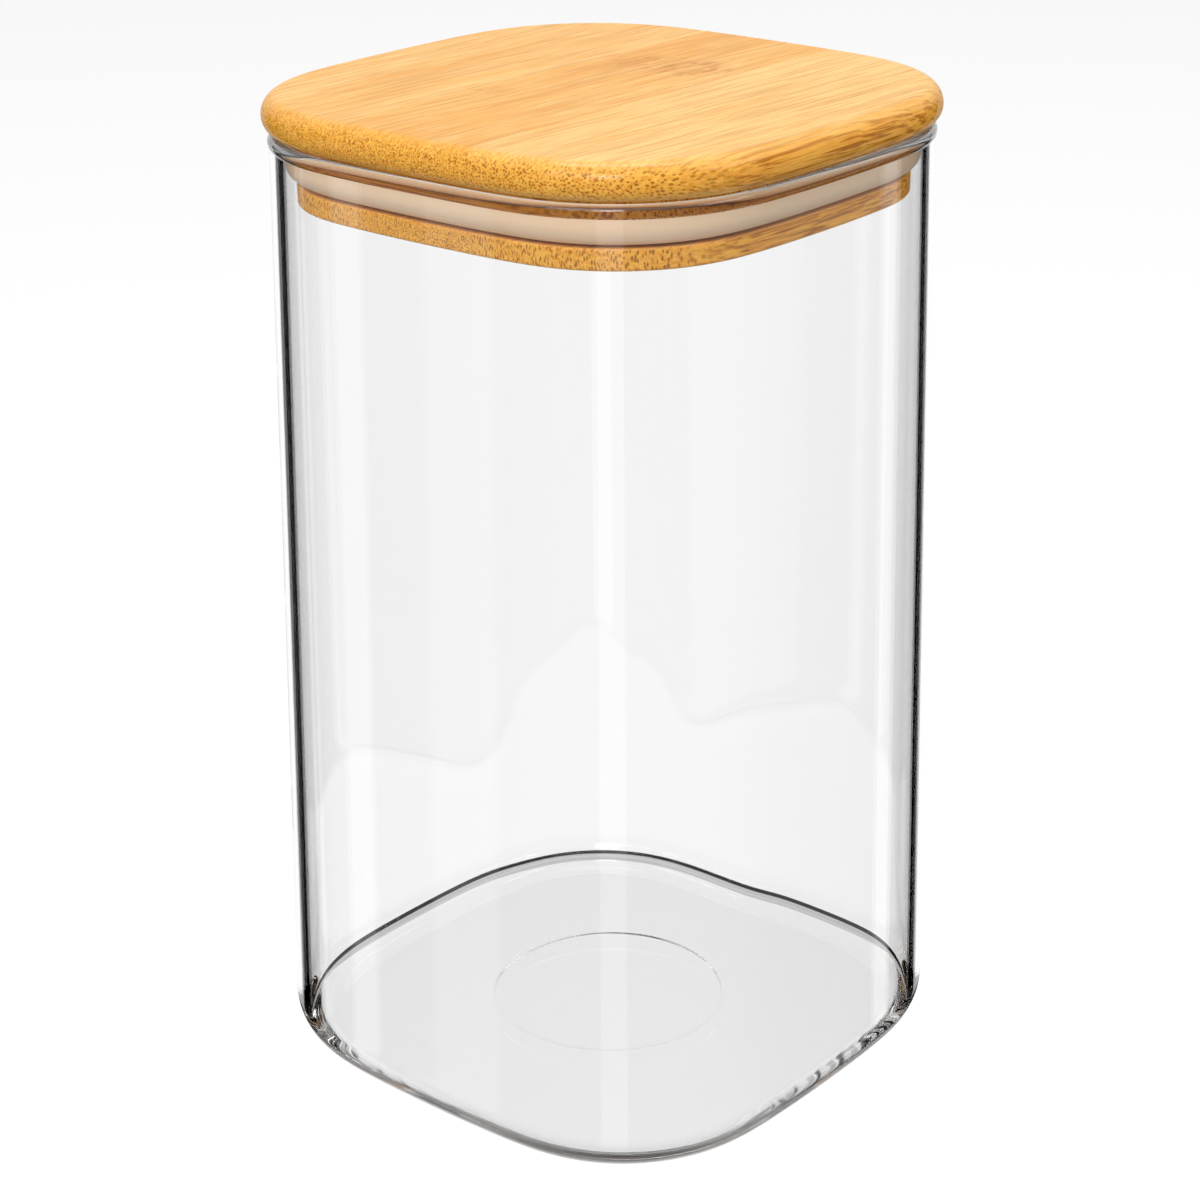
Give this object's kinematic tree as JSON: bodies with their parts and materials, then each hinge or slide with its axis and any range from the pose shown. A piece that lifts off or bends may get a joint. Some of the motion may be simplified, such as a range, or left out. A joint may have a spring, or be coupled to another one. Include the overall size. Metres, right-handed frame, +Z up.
{
  "type": "square glass storage jar with bamboo lid",
  "caption": "Tall square glass storage jar with round corners, slightly tapered walls and a lift-off bamboo lid whose plug carries a silicone sealing ring.",
  "frame": {"origin": "middle of the jar's foot, on the surface that it stands on", "axes": "+Z up through the mouth; the flat sides face along X and Y; the grain of the lid's top board runs along X"},
  "size_m": [0.0996, 0.0996, 0.1696],
  "materials": {
    "glass": "clear, colourless, smooth borosilicate glass with a rolled rim",
    "bamboo_board": "solid bamboo strips, satin lacquer, grain along X with a node figure, dotted end grain",
    "bamboo_core": "solid bamboo strips, satin, grain along Y",
    "bamboo_flange": "solid bamboo strips, satin, grain along X, dotted end grain",
    "silicone": "translucent milky silicone rubber, soft sheen"
  },
  "bodies": {
    "jar": {"glass_jar": "glass"},
    "lid": {"board_strip_1": "bamboo_board", "board_strip_2": "bamboo_board", "board_strip_3": "bamboo_board", "board_strip_4": "bamboo_board", "board_strip_5": "bamboo_board", "core_strip_1": "bamboo_core", "core_strip_2": "bamboo_core", "core_strip_3": "bamboo_core", "core_strip_4": "bamboo_core", "flange_strip_1": "bamboo_flange", "flange_strip_2": "bamboo_flange", "flange_strip_3": "bamboo_flange", "flange_strip_4": "bamboo_flange", "silicone_seal": "silicone"}
  },
  "joints": [
    {"name": "lid_lift", "type": "slide", "parent": "jar", "child": "lid", "axis": [0, 0, 1], "range_m": [0, 0.1]}
  ]
}
